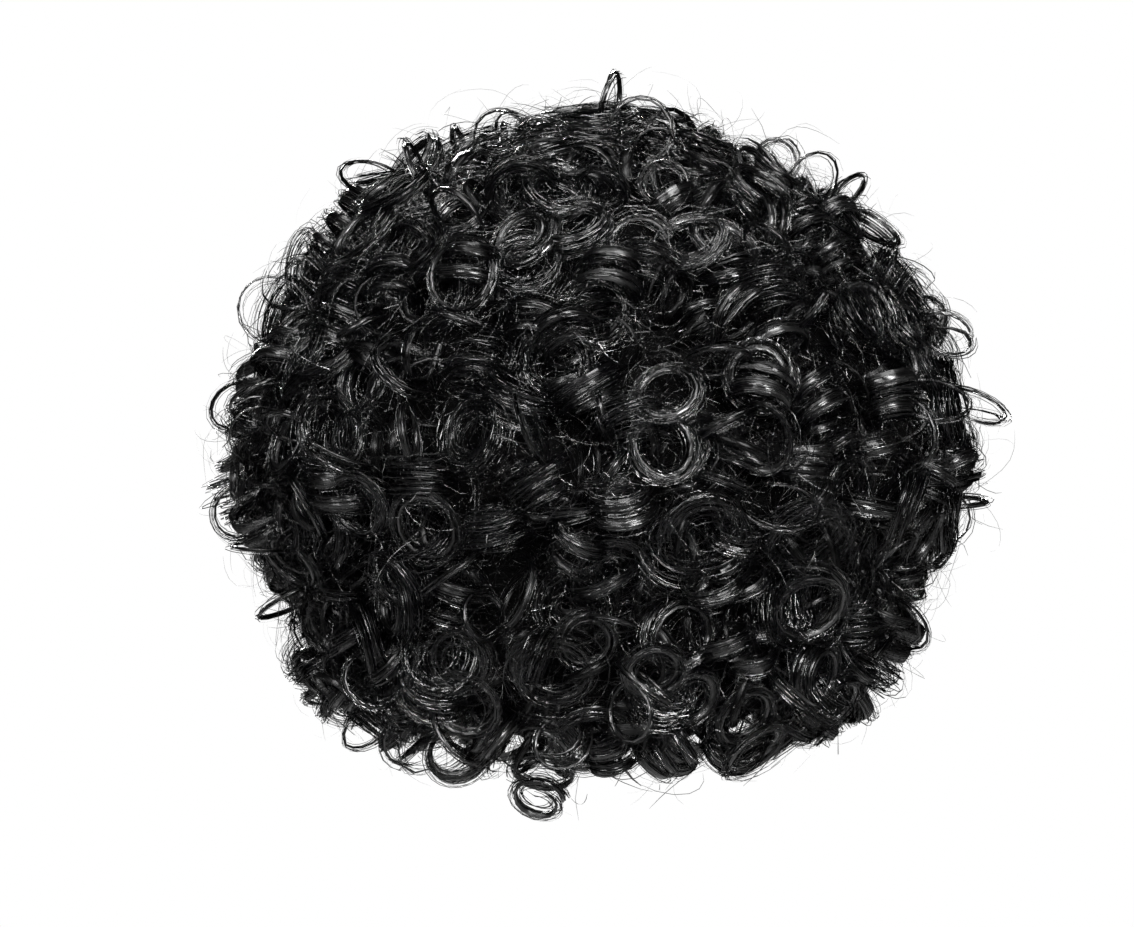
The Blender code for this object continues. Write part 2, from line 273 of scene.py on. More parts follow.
@dataclass
class Strips:
    """A mesh in the making, of thin strips and tubes, with their own normals, UV maps and tones."""

    points: list[Array] = field(default_factory=list)
    normals: list[Array] = field(default_factory=list)
    fibre_uv: list[Array] = field(default_factory=list)
    tones: list[Array] = field(default_factory=list)
    faces: list[Array] = field(default_factory=list)
    slots: list[Array] = field(default_factory=list)
    count: int = 0
    bow: float = math.radians(58)
    tone_offset: float = 40 * MM

    def grid(
        self,
        points: Array,
        normals: Array,
        uv: Array,
        tone: Array,
        closed: bool,
        slot: int,
    ) -> None:
        """Adds sheets of four-sided faces.

        Args:
            points: Corners, as (sheets, along, across, 3).
            normals: A normal for each corner.
            uv: Two values for each corner.
            tone: One value for each sheet.
            closed: Whether the last corner across joins the first.
            slot: The material slot of the faces.
        """
        sheets, along, across = points.shape[:3]
        number = self.count + np.arange(sheets * along * across).reshape(sheets, along, across)
        if closed:
            number = np.concatenate([number, number[:, :, :1]], axis=2)
        near, far = number[:, :-1], number[:, 1:]
        quads = np.stack([near[:, :, :-1], near[:, :, 1:], far[:, :, 1:], far[:, :, :-1]], axis=-1)
        self.points.append(points.reshape(-1, 3))
        self.normals.append(normals.reshape(-1, 3))
        self.fibre_uv.append(uv.reshape(-1, 2))
        self.tones.append(np.repeat(tone, along * across))
        self.faces.append(quads.reshape(-1, 4))
        self.slots.append(np.full(len(self.faces[-1]), slot))
        self.count += sheets * along * across

    def ribbons(
        self,
        paths: Array,
        widths: Array,
        sides: Array,
        rng: np.random.Generator,
        slot: int = FIBRE_SLOT,
    ) -> None:
        """Adds fibres as ribbons whose normals turn across them, so that they catch light as round hairs do.

        Args:
            paths: The fibres' middles, as (fibres, along, 3).
            widths: Their widths, as (fibres, along).
            sides: The direction of their width, as (fibres, along, 3).
            rng: Gives each fibre its tone.
            slot: The material slot.
        """
        tangents = unit(np.gradient(paths, axis=1))
        faces = unit(np.cross(tangents, sides))
        sides = np.cross(faces, tangents)
        half = sides * widths[..., None] / 2
        points = np.stack([paths - half, paths + half], axis=2)
        ahead, aside = faces * math.cos(self.bow), sides * math.sin(self.bow)
        normals = np.stack([ahead - aside, ahead + aside], axis=2)
        along = np.linspace(0, 1, paths.shape[1])
        uv = np.zeros(points.shape[:3] + (2,))
        uv[..., 1, 0] = 1
        uv[..., 1] = along[None, :, None]
        self.grid(points, normals, uv, rng.random(len(paths)), False, slot)

    def tube(
        self,
        path: Array,
        wide: Array,
        thick: Array,
        broad: Array,
        sides: int,
        tone: float,
        slot: int,
    ) -> None:
        """Adds one closed lock of elliptical section.

        Args:
            path: The lock's middle, as (along, 3).
            wide: Half its width at each point.
            thick: Half its thickness at each point.
            broad: The direction of its width at each point.
            sides: How many faces go round it.
            tone: Its tone.
            slot: The material slot.
        """
        tangent = unit(np.gradient(path, axis=0))
        depth = unit(np.cross(tangent, broad))
        broad = np.cross(depth, tangent)
        angle = np.arange(sides) * FULL_TURN / sides
        across, out = np.cos(angle)[None, :, None], np.sin(angle)[None, :, None]
        wide, thick = wide[:, None, None], thick[:, None, None]
        points = path[:, None] + broad[:, None] * across * wide + depth[:, None] * out * thick
        normals = unit(broad[:, None] * across / wide + depth[:, None] * out / thick)
        length = np.concatenate([[0], np.cumsum(np.linalg.norm(np.diff(path, axis=0), axis=1))])
        uv = np.zeros(points.shape[:2] + (2,))
        round_it = math.pi * math.sqrt((np.mean(wide) ** 2 + np.mean(thick) ** 2) / 2)
        uv[..., 0] = np.abs(angle / math.pi - 1)[None] * round_it + tone * self.tone_offset
        uv[..., 1] = length[:, None]
        self.grid(points[None], normals[None], uv[None], np.array([tone]), True, slot)

    def triangles(self) -> int:
        """How many triangles the faces hold."""
        return 2 * sum(len(faces) for faces in self.faces)

    def build(self, name: str, materials: list[bpy.types.Material]) -> bpy.types.Object:
        """Makes the object.

        Args:
            name: Its name.
            materials: One for each slot.

        Returns:
            The object, at the origin.
        """
        points = np.concatenate(self.points)
        faces = np.concatenate(self.faces)
        mesh = bpy.data.meshes.new(name)
        mesh.vertices.add(len(points))
        mesh.vertices.foreach_set("co", points.astype(np.float32).ravel())
        mesh.loops.add(faces.size)
        mesh.loops.foreach_set("vertex_index", faces.astype(np.int32).ravel())
        mesh.polygons.add(len(faces))
        mesh.polygons.foreach_set("loop_start", np.arange(0, faces.size, 4, dtype=np.int32))
        mesh.polygons.foreach_set("material_index", np.concatenate(self.slots).astype(np.int32))
        corners = np.concatenate(self.fibre_uv)[faces.ravel()]
        mesh.uv_layers.new(name="fibre").uv.foreach_set("vector", corners.astype(np.float32).ravel())
        tone = mesh.attributes.new("tone", "FLOAT", "POINT")
        tone.data.foreach_set("value", np.concatenate(self.tones).astype(np.float32))
        mesh.update(calc_edges=True)
        mesh.validate()
        mesh.normals_split_custom_set_from_vertices(unit(np.concatenate(self.normals)))
        for material in materials:
            mesh.materials.append(material)
        made = bpy.data.objects.new(name, mesh)
        bpy.context.scene.collection.objects.link(made)
        return made


@dataclass(frozen=True)
class FibreFinish:
    """Black synthetic hair fibre, extruded and heat-curled, with a soft gloss along its length."""

    name: str = "black_curl_fibre"
    dark: str = "#010101"
    light: str = "#030303"
    roughness: tuple[float, float] = (0.2, 0.34)
    anisotropy: float = 0.7
    ior: float = 1.8

    def material(self) -> bpy.types.Material:
        """The fibres' material, whose tone changes from fibre to fibre."""
        made, tree, shader = new_material(self.name)
        tone = add_node(tree, "ShaderNodeAttribute", {"attribute_name": "tone"})
        ramp = add_node(tree, "ShaderNodeValToRGB", links={"Fac": tone.outputs["Fac"]})
        set_ramp(ramp, [(0.0, self.light), (1.0, self.dark)])
        gloss = spread(tree, self.roughness[0], self.roughness[1], tone.outputs["Fac"])
        across = add_node(tree, "ShaderNodeTangent", {"direction_type": "UV_MAP", "uv_map": "fibre"})
        links = {
            "Base Color": ramp.outputs["Color"],
            "Roughness": gloss,
            "Tangent": across.outputs["Tangent"],
        }
        feed(tree, shader, links, {"Anisotropic": self.anisotropy, "IOR": self.ior})
        return made


@dataclass(frozen=True)
class LockFinish:
    """A curled lock of the same fibre, whose single fibres lie side by side about 0.6 mm apart."""

    name: str = "black_curl_lock"
    # dark is painted shade for the gaps between the drawn fibres; light is the fibres' own colour.
    dark: str = "#000000"
    light: str = "#020202"
    fibre_gap: float = 0.62 * MM
    fibre_length: float = 30 * MM
    bump: float = 0.5 * MM
    roughness: tuple[float, float] = (0.18, 0.3)
    gap_roughness: float = 0.5
    anisotropy: float = 0.8
    specular: float = 0.4
    ior: float = 1.5

    def material(self) -> bpy.types.Material:
        """The locks' material: fibres drawn along the lock's own UV map, as bump and as tone, with painted
        shade in the gaps between them.
        """
        made, tree, shader = new_material(self.name)
        place = add_node(tree, "ShaderNodeUVMap", {"uv_map": "fibre"})
        drawn = add_node(
            tree,
            "ShaderNodeMapping",
            {"Scale": (1 / self.fibre_gap, 1 / self.fibre_length, 1)},
            {"Vector": place.outputs["UV"]},
        )
        fibres = add_node(
            tree, "ShaderNodeTexNoise", {"Scale": 1.0, "Detail": 2.0}, {"Vector": drawn.outputs["Vector"]}
        )
        # Painted shade: the ramp gives the gaps between the drawn fibres the darker colour.
        ramp = add_node(tree, "ShaderNodeValToRGB", links={"Fac": fibres.outputs["Fac"]})
        set_ramp(ramp, [(0.42, self.dark), (0.6, self.light)])
        bump = add_node(
            tree,
            "ShaderNodeBump",
            {"Strength": 1.0, "Distance": self.bump},
            {"Height": fibres.outputs["Fac"]},
        )
        tone = add_node(tree, "ShaderNodeAttribute", {"attribute_name": "tone"})
        smooth = spread(tree, self.roughness[0], self.roughness[1], tone.outputs["Fac"])
        gloss = add_node(
            tree,
            "ShaderNodeMapRange",
            {"From Min": 0.42, "From Max": 0.56, "To Min": self.gap_roughness},
            {"Value": fibres.outputs["Fac"], "To Max": smooth},
        )
        across = add_node(tree, "ShaderNodeTangent", {"direction_type": "UV_MAP", "uv_map": "fibre"})
        links = {
            "Base Color": ramp.outputs["Color"],
            "Normal": bump.outputs["Normal"],
            "Roughness": gloss.outputs["Result"],
            "Tangent": across.outputs["Tangent"],
        }
        values = {"Anisotropic": self.anisotropy, "Specular IOR Level": self.specular, "IOR": self.ior}
        feed(tree, shader, links, values)
        return made


@dataclass(frozen=True)
class UnderlayerFinish:
    """The dense, shaded hair under the ringlets: matt and all but black."""

    name: str = "black_inner_hair"
    dark: str = "#000000"
    light: str = "#020202"
    curl: float = 9 * MM

    def material(self) -> bpy.types.Material:
        """The inner hair's material: curled fibres as rings of noise, read in the object's own place."""
        made, tree, shader = new_material(self.name)
        place = add_node(tree, "ShaderNodeTexCoord")
        curls = add_node(
            tree,
            "ShaderNodeTexNoise",
            {"Scale": 1 / self.curl, "Detail": 6.0, "Distortion": 2.5},
            {"Vector": place.outputs["Object"]},
        )
        ramp = add_node(tree, "ShaderNodeValToRGB", links={"Fac": curls.outputs["Fac"]})
        set_ramp(ramp, [(0.35, self.dark), (0.75, self.light)])
        bump = add_node(
            tree, "ShaderNodeBump", {"Strength": 0.8, "Distance": 3 * MM}, {"Height": curls.outputs["Fac"]}
        )
        links = {"Base Color": ramp.outputs["Color"], "Normal": bump.outputs["Normal"]}
        feed(tree, shader, links, {"Roughness": 0.8, "Specular IOR Level": 0.02})
        return made


@dataclass(frozen=True)
class NetFinish:
    """Black stretch net of knitted nylon, with the wefts of hair sewn on in rows about 12 mm apart."""

    name: str = "black_stretch_net"
    thread: str = "#1c191a"
    hole: str = "#050405"
    mesh_size: float = 2.2 * MM
    weft_gap: float = 12 * MM

    def material(self) -> bpy.types.Material:
        """The cap's material: net cells and weft rows, read in the object's own place."""
        made, tree, shader = new_material(self.name)
        place = add_node(tree, "ShaderNodeTexCoord")
        cells = add_node(
            tree,
            "ShaderNodeTexVoronoi",
            {"feature": "DISTANCE_TO_EDGE", "Scale": 1 / self.mesh_size},
            {"Vector": place.outputs["Object"]},
        )
        rows = add_node(
            tree,
            "ShaderNodeTexWave",
            {"bands_direction": "Z", "Scale": 0.05 * FULL_TURN / self.weft_gap, "Distortion": 0.6},
            {"Vector": place.outputs["Object"]},
        )
        ramp = add_node(tree, "ShaderNodeValToRGB", links={"Fac": cells.outputs["Distance"]})
        set_ramp(ramp, [(0.08, self.thread), (0.22, self.hole)])
        height = add_node(
            tree,
            "ShaderNodeMath",
            {"operation": "SUBTRACT"},
            {0: rows.outputs["Fac"], 1: cells.outputs["Distance"]},
        )
        bump = add_node(
            tree,
            "ShaderNodeBump",
            {"Strength": 0.7, "Distance": 1 * MM},
            {"Height": height.outputs["Value"]},
        )
        links = {"Base Color": ramp.outputs["Color"], "Normal": bump.outputs["Normal"]}
        feed(tree, shader, links, {"Roughness": 0.75})
        return made


@dataclass
class Ringlet:
    """One lock of hair curled into a coil."""

    centre: Array
    axis: Array
    outward: Array
    radius: float
    turns: float
    pitch: float
    half_width: float
    half_thickness: float
    start: float
    hand: int
    shrink: float
    bend: Array
    rng: np.random.Generator
    steps_a_turn: int = 14
    plunge: float = 16 * MM
    root_share: float = 0.16

    def coil(
        self, share: Array, across: Array, out: Array, phase: Array
    ) -> tuple[Array, Array]:
        """Points on the coil.

        Args:
            share: How far along the lock, from 0 at its root to 1 at its tip.
            across: Off the lock's middle, along the coil's axis.
            out: Off the lock's middle, away from the coil's axis.
            phase: Turns each fibre a little ahead of the lock.

        Returns:
            The points, and the direction away from the coil's axis at each.
        """
        first = unit(np.cross(self.axis, self.outward + 0.01))
        second = np.cross(self.axis, first)
        angle = self.start + phase + self.hand * FULL_TURN * self.turns * share
        away = np.cos(angle)[..., None] * first + np.sin(angle)[..., None] * second
        reach = self.radius * (1 + self.shrink * (0.5 - share)) + out
        along = self.pitch * self.turns * (share - 0.5) + across
        points = self.centre + self.axis * along[..., None] + away * reach[..., None]
        points = points + self.bend * ((2 * share - 1) ** 2)[..., None]
        sink = np.clip((self.root_share - share) / self.root_share, 0, 1) ** 2
        return points - self.outward * (self.plunge * sink)[..., None], away

    def section(self, share: Array) -> Array:
        """How full the lock is along its length: gathered at the root, thin at the tip."""
        return np.interp(share, [0, 0.15, 0.6, 0.9, 1], [0.7, 0.95, 1, 0.75, 0.35])

    def add_fibres(
        self, strips: Strips, count: int, width: float, stray: float, slot: int = FIBRE_SLOT
    ) -> None:
        """Adds the lock's fibres, most of them over its outside and a few straying.

        Args:
            strips: The mesh in the making.
            count: How many fibres.
            width: The width of a fibre.
            stray: How far fibres stray, in metres.
            slot: The material slot.
        """
        rng = self.rng
        steps = max(8, round(self.turns * self.steps_a_turn))
        begin = rng.uniform(0.0, 0.2, count)
        end = 1 - rng.uniform(0, 0.22, count)
        share = begin[:, None] + (end - begin)[:, None] * np.linspace(0, 1, steps)[None]
        place = rng.uniform(-1, 1, count)
        face = np.where(rng.random(count) < 0.75, 1.0, -1.0)
        fullness = self.section(share)
        loose = np.abs(rng.normal(0, 1, (count, 1))) * stray
        across = place[:, None] * (self.half_width * fullness + loose)
        depth = np.sqrt(1.1 - place**2)[:, None] * self.half_thickness * fullness
        out = face[:, None] * (depth + 0.25 * MM + loose)
        wave, pace = rng.uniform(0, FULL_TURN, (2, count, 1)), rng.uniform(0.5, 1.5, (2, count, 1))
        across = across + np.sin(share * FULL_TURN * pace[0] + wave[0]) * (0.35 * MM + loose)
        out = out + np.cos(share * FULL_TURN * pace[1] + wave[1]) * (0.25 * MM + loose)
        paths, away = self.coil(share, across, out, rng.normal(0, 0.08, (count, 1)) + 0 * share)
        lean = rng.normal(0, 0.45, (count, 1)) + place[:, None] * 0.8
        sides = np.cos(lean)[..., None] * self.axis - np.sin(lean)[..., None] * away
        taper = np.interp(share, [0, 0.05, 0.85, 1], [0.6, 1, 0.9, 0.35])
        widths = width * rng.uniform(0.6, 1.25, (count, 1)) * taper
        strips.ribbons(paths, widths, sides, rng, slot)

    def add_strand(self, strips: Strips, sides: int, size: float, slot: int = LOCK_SLOT) -> None:
        """Adds one strand of fibres lying side by side, a part of the lock.

        Args:
            strips: The mesh in the making.
            sides: How many faces go round it.
            size: Its width as a share of the lock's.
            slot: The material slot.
        """
        rng = self.rng
        steps = max(7, round(self.turns * self.steps_a_turn))
        share = np.linspace(rng.uniform(0, 0.08), rng.uniform(0.85, 1.0), steps)
        ends = np.interp(np.linspace(0, 1, steps), [0, 0.08, 0.85, 1], [0.5, 1, 1, 0.15])
        fullness = self.section(share) * ends
        room = 1 - size
        across = (rng.uniform(-room, room) + rng.normal(0, 0.3) * (share - 0.5)) * self.half_width * fullness
        out = rng.normal(0, 0.5 * MM) + rng.normal(0, 1.6 * MM) * (share - 0.5)
        path, away = self.coil(share, across, out, rng.normal(0, 0.12) + 0 * share)
        wide = np.maximum(self.half_width * size * fullness, 0.15 * MM)
        thick = np.maximum(self.half_thickness * rng.uniform(0.5, 0.8) * fullness, 0.12 * MM)
        lean = rng.normal(0, 0.25) + rng.normal(0, 0.5) * (share - 0.5)
        broad = np.cos(lean)[:, None] * self.axis + np.sin(lean)[:, None] * away
        strips.tube(path, wide, thick, broad, sides, rng.random(), slot)


@dataclass(frozen=True)
class LayStyle:
    """The sizes of the ringlets that lie one way, each as its least and its most."""

    radius: tuple[float, float]
    turns: tuple[float, float]
    pitch: tuple[float, float]
    half_width: tuple[float, float]
    half_thickness: tuple[float, float]
    lift: tuple[float, float]


STYLES = {
    Lay.END_ON: LayStyle(
        radius=(11 * MM, 16.5 * MM),
        turns=(1.4, 2.2),
        pitch=(3 * MM, 6 * MM),
        half_width=(1.6 * MM, 3.4 * MM),
        half_thickness=(1.2 * MM, 2.6 * MM),
        lift=(0 * MM, 11 * MM),
    ),
    Lay.HANGING: LayStyle(
        radius=(10 * MM, 15 * MM),
        turns=(1.5, 2.4),
        pitch=(7 * MM, 13 * MM),
        half_width=(2.6 * MM, 6.0 * MM),
        half_thickness=(0.7 * MM, 1.5 * MM),
        lift=(-4 * MM, 9 * MM),
    ),
    Lay.LOOSE: LayStyle(
        radius=(10 * MM, 17 * MM),
        turns=(1.0, 1.9),
        pitch=(5 * MM, 13 * MM),
        half_width=(1.8 * MM, 4.6 * MM),
        half_thickness=(0.7 * MM, 1.6 * MM),
        lift=(-4 * MM, 9 * MM),
    ),
    Lay.STRAY: LayStyle(
        radius=(10 * MM, 18 * MM),
        turns=(1.0, 1.7),
        pitch=(2 * MM, 8 * MM),
        half_width=(0.7 * MM, 1.5 * MM),
        half_thickness=(0.6 * MM, 1.1 * MM),
        lift=(8 * MM, 15 * MM),
    ),
}


@dataclass
class Section:
    """One section of the hair, sewn to its own part of the cap, with its bounds in degrees."""

    name: str
    node: str
    top: float
    bottom: float
    front: float
    rear: float
    side: int
    fibres: int

    def covers(self, polar: float, turn: float) -> bool:
        """Whether a place, as a polar angle and a turn in radians, is in this section."""
        down, round_it = math.degrees(polar), math.degrees(turn)
        if not self.top <= down < self.bottom:
            return False
        if self.side == 0:
            return self.front <= abs(round_it) <= self.rear
        return self.front <= self.side * round_it < self.rear


SECTIONS = (
    Section("crown", "crown_curls", 0, 36, 0, 180, 0, 17),
    Section("fringe", "fringe_curls", 36, 80, 0, 45, 0, 12),
    Section("left", "left_curls", 36, HEM_BOTTOM, 45, 120, 1, 16),
    Section("right", "right_curls", 36, HEM_BOTTOM, 45, 120, -1, 16),
    Section("back", "back_curls", 36, 99, 120, 180, 0, 22),
    Section("nape", "nape_curls", 99, HEM_BOTTOM, 120, 180, 0, 21),
)


@dataclass
class Curls:
    """All ringlets of the wig, placed over the hair's form and shared out to its sections."""

    form: HairForm
    materials: list[bpy.types.Material]
    spacing: float = 25 * MM
    fibre: float = 0.44 * MM
    stray_share: float = 0.17
    end_on_share: float = 0.8
    open_share: float = 0.25
    clump_rise: float = 9 * MM
    clumps: float = 3.2
    face_top: float = math.radians(77)
    face_side: float = math.radians(51)
    inner_spread: float = 1.25
    inner_depth: float = 9 * MM
    strand_sides: int = 4

    def places(
        self, spacing: float, rng: np.random.Generator, hem_margin: float
    ) -> tuple[Array, Array]:
        """Places spread evenly over the hair, jittered.

        Args:
            spacing: About how far apart they are.
            rng: Jitters them.
            hem_margin: How far inside the hem they stay, in radians.

        Returns:
            Polar angles and turns.
        """
        mean_reach = (self.form.reach_up + self.form.reach_side + self.form.reach_back) / 3
        count = round(4 * math.pi * mean_reach**2 / (spacing**2 * math.sqrt(3) / 2))
        number = np.arange(count)
        jitter = 0.28 * spacing / mean_reach
        polar = np.abs(np.arccos(1 - 2 * (number + 0.5) / count) + rng.normal(0, jitter, count))
        turn = number * GOLDEN_TURN + rng.normal(0, jitter, count) / np.maximum(0.2, np.sin(polar))
        turn = (turn + math.pi) % FULL_TURN - math.pi
        in_face = (polar > self.face_top) & (np.abs(turn) < self.face_side)
        kept = (polar < self.form.hem_at(turn) - hem_margin) & ~in_face
        return polar[kept], turn[kept]

    def edge_places(self, rng: np.random.Generator) -> list[tuple[float, float, float, int]]:
        """Places on the hair's thickness round the face and along the hem, and inside it below the cap.

        Args:
            rng: Jitters them.

        Returns:
            A polar angle, a turn, a depth below the outer ringlets and 1, or -1 for a place inside the hair.
        """
        rims = [(76.5, turn) for turn in range(-42, 43, 8)]
        rims += [(polar, side * 49.5) for polar in range(81, 138, 8) for side in (-1, 1)]
        hems = [turn for turn in range(-176, 180, 9) if abs(turn) > 54]
        rims += [(math.degrees(self.form.hem_at(math.radians(turn))) - 3, turn) for turn in hems]
        sides_and_back = [turn for turn in range(-174, 180, 11) if abs(turn) > 58]
        inside = [(polar, turn) for polar in range(127, 142, 7) for turn in sides_and_back]
        made = []
        for facing, places in ((1, rims), (-1, inside)):
            for down, round_it in places:
                polar = math.radians(down + rng.normal(0, 1.2))
                turn = math.radians(round_it + rng.normal(0, 1.5))
                wall = float(self.form.outer(polar, turn) - self.form.inner(polar, turn))
                if facing < 0 and polar > self.form.hem_at(turn) - math.radians(2):
                    continue
                depths = np.arange(15 * MM, wall - 16 * MM, 19 * MM) if facing > 0 else [wall - 4 * MM]
                made += [(polar, turn, float(depth), facing) for depth in depths]
        return made

    def lay_of(self, polar: float, rng: np.random.Generator) -> Lay:
        """How a ringlet lies: the lower down, the more of them hang."""
        if rng.random() < self.stray_share:
            return Lay.STRAY
        low = np.interp(math.degrees(polar), [30, 110], [0.25, 0.45])
        draw = rng.random()
        if draw < low:
            return Lay.HANGING
        return Lay.END_ON if draw < low + (1 - low) * self.end_on_share else Lay.LOOSE

    def ringlet(
        self, polar: float, turn: float, lay: Lay, sunk: float, rng: np.random.Generator, facing: int = 1
    ) -> Ringlet:
        """Makes one ringlet at a place.

        Args:
            polar: Its polar angle.
            turn: Its turn.
            lay: How it lies.
            sunk: How far below the outer ringlets it lies.
            rng: Draws its sizes.
            facing: 1, or -1 where it is on the inside of the hair.

        Returns:
            The ringlet.
        """
        style = STYLES[lay]
        normal, down, across = self.form.local_axes(polar, turn)
        heading = rng.uniform(0, FULL_TURN)
        level = math.cos(heading) * down + math.sin(heading) * across
        if lay is Lay.END_ON:
            axis = normal + level * math.tan(rng.uniform(0, math.radians(32)))
        elif lay is Lay.HANGING:
            axis = down + rng.normal(0, 0.32) * across + rng.normal(0, 0.28) * normal
        else:
            axis = level + normal * rng.normal(0, 0.5)
        lift = rng.uniform(*style.lift) - sunk
        if not sunk:
            lift += self.clump_rise * noise.noise(Vector(self.form.way(polar, turn)) * self.clumps)
        centre = self.form.point(np.array(polar), np.array(turn), lift)
        return Ringlet(
            centre=centre,
            axis=unit(axis),
            outward=normal * facing,
            radius=rng.uniform(*style.radius),
            turns=rng.uniform(*style.turns),
            pitch=rng.uniform(*style.pitch),
            half_width=rng.uniform(*style.half_width),
            half_thickness=rng.uniform(*style.half_thickness),
            start=rng.uniform(0, FULL_TURN),
            hand=rng.choice([-1, 1]),
            shrink=rng.uniform(-0.15, 0.45),
            bend=(rng.normal(0, 1) * down + rng.normal(0, 1) * across) * 2.2 * MM,
            rng=rng,
        )

    def dress(self, strips: Strips, ringlet: Ringlet, lay: Lay, fibres: int) -> None:
        """Adds an outer ringlet: most have a strand with fibres over it, some are loose fibres alone.

        Args:
            strips: The mesh in the making.
            ringlet: The ringlet.
            lay: How it lies.
            fibres: How many fibres it has over its strand.
        """
        if lay is Lay.STRAY:
            ringlet.add_strand(strips, self.strand_sides, 1.0)
            ringlet.add_fibres(strips, fibres // 2, self.fibre, 0.6 * MM)
        elif ringlet.rng.random() < self.open_share:
            ringlet.add_fibres(strips, round(fibres * 1.3), self.fibre, 1.8 * MM)
        else:
            ringlet.add_strand(strips, self.strand_sides, ringlet.rng.uniform(0.65, 0.95))
            ringlet.add_fibres(strips, fibres, self.fibre, 0.7 * MM)

    def build(self) -> None:
        """Makes every section's ringlets, one piece a section: outer, inner and edge ones."""
        outer = self.places(self.spacing, np.random.default_rng(11), math.radians(1))
        inner = self.places(self.spacing * self.inner_spread, np.random.default_rng(12), math.radians(3))
        edges = self.edge_places(np.random.default_rng(13))
        for number, section in enumerate(SECTIONS):
            strips = Strips()
            rng = np.random.default_rng(100 + number)
            for polar, turn in zip(*outer):
                if section.covers(polar, turn):
                    lay = self.lay_of(polar, rng)
                    self.dress(strips, self.ringlet(polar, turn, lay, 0.0, rng), lay, section.fibres)
            for polar, turn in zip(*inner):
                if section.covers(polar, turn):
                    ringlet = self.ringlet(polar, turn, Lay.LOOSE, self.inner_depth, rng)
                    ringlet.add_strand(strips, self.strand_sides, 0.8, SHADED_SLOT)
                    ringlet.add_fibres(strips, section.fibres // 3, self.fibre, 2 * MM, SHADED_SLOT)
            for polar, turn, depth, facing in edges:
                if section.covers(polar, turn):
                    lay = Lay.HANGING if rng.random() < 0.6 else Lay.LOOSE
                    ringlet = self.ringlet(polar, turn, lay, depth, rng, facing)
                    ringlet.add_strand(strips, self.strand_sides, 0.85)
                    ringlet.add_fibres(strips, section.fibres // 2, self.fibre, 1.2 * MM)
            piece = strips.build(f"{section.name}_ringlets", self.materials)
            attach(piece, "root")
            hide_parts(section.node)
            LOG.info("%s: %d triangles", piece.name, strips.triangles())


@dataclass
class LooseHairs:
    """Single hairs that left their ringlets, each a loose arc or loop."""

    name: str
    form: HairForm
    spacing: float
    width: float
    lift: tuple[float, float]
    radius: tuple[float, float]
    length: tuple[float, float]
    hem_margin: float
    steps: int
    seed: int
    near_limit: float = 24 * MM
    soft_limit: float = 12 * MM

    def build(self, curls: Curls, material: bpy.types.Material) -> None:
        """Makes the piece.

        Args:
            curls: Gives the places.
            material: The fibre material.
        """
        rng = np.random.default_rng(self.seed)
        polar, turn = curls.places(self.spacing, rng, self.hem_margin)
        count = len(polar)
        normal, down, across = self.form.local_axes(polar, turn)
        heading, begin = rng.uniform(0, FULL_TURN, (2, count, 1))
        level = np.cos(heading) * down + np.sin(heading) * across
        tilt = rng.normal(0, 0.6, (count, 1))
        plane = unit(normal * np.cos(tilt) + level * np.sin(tilt))
        radius = rng.uniform(*self.radius, (count, 1))
        sweep = np.minimum(rng.uniform(*self.length, (count, 1)) / radius, 0.95 * FULL_TURN)
        share = np.linspace(0, 1, self.steps)[None]
        curl = radius * (1 + rng.normal(0, 0.4, (count, 1)) * (share - 0.5))
        angle = share * sweep * rng.choice([-1, 1], (count, 1)) + begin
        first = unit(np.cross(plane, level + 0.01))
        second = np.cross(plane, first)
        outer = self.form.outer(polar, turn)
        reach = outer + rng.uniform(*self.lift, count)
        centre = self.form.centre() + self.form.way(polar, turn) * reach[:, None]
        ring = np.cos(angle)[..., None] * first[:, None] + np.sin(angle)[..., None] * second[:, None]
        path = centre[:, None] + (curl[..., None] * (ring - ring[:, :1] * 0.7))
        path = path + plane[:, None] * (rng.normal(0, 4 * MM, (count, 1)) * share)[..., None]
        path = self.kept_near(path, outer)
        sides = np.repeat(plane[:, None] + rng.normal(0, 0.5, (count, 1, 3)), self.steps, axis=1)
        taper = np.interp(share, [0, 0.1, 0.8, 1], [0.5, 1, 1, 0.3])
        widths = self.width * rng.uniform(0.6, 1.3, (count, 1)) * taper
        strips = Strips()
        strips.ribbons(path, widths, sides, rng)
        piece = strips.build(self.name, [material])
        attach(piece, "root")
        LOG.info("%s: %d triangles", piece.name, strips.triangles())

    def kept_near(self, path: Array, outer: Array) -> Array:
        """Bends back what reaches far out of the hair.

        Args:
            path: The hairs' points, one row for a hair.
            outer: How far the hair's outer form is from the head's centre at each hair.

        Returns:
            The points, none of them further out than near_limit and soft_limit together.
        """
        middle = self.form.centre()
        away = path - middle
        reach = np.linalg.norm(away, axis=-1, keepdims=True)
        near = (outer + self.near_limit)[:, None, None]
        bent = near + self.soft_limit * np.tanh((reach - near) / self.soft_limit)
        return middle + away * np.where(reach > near, bent / reach, 1.0)


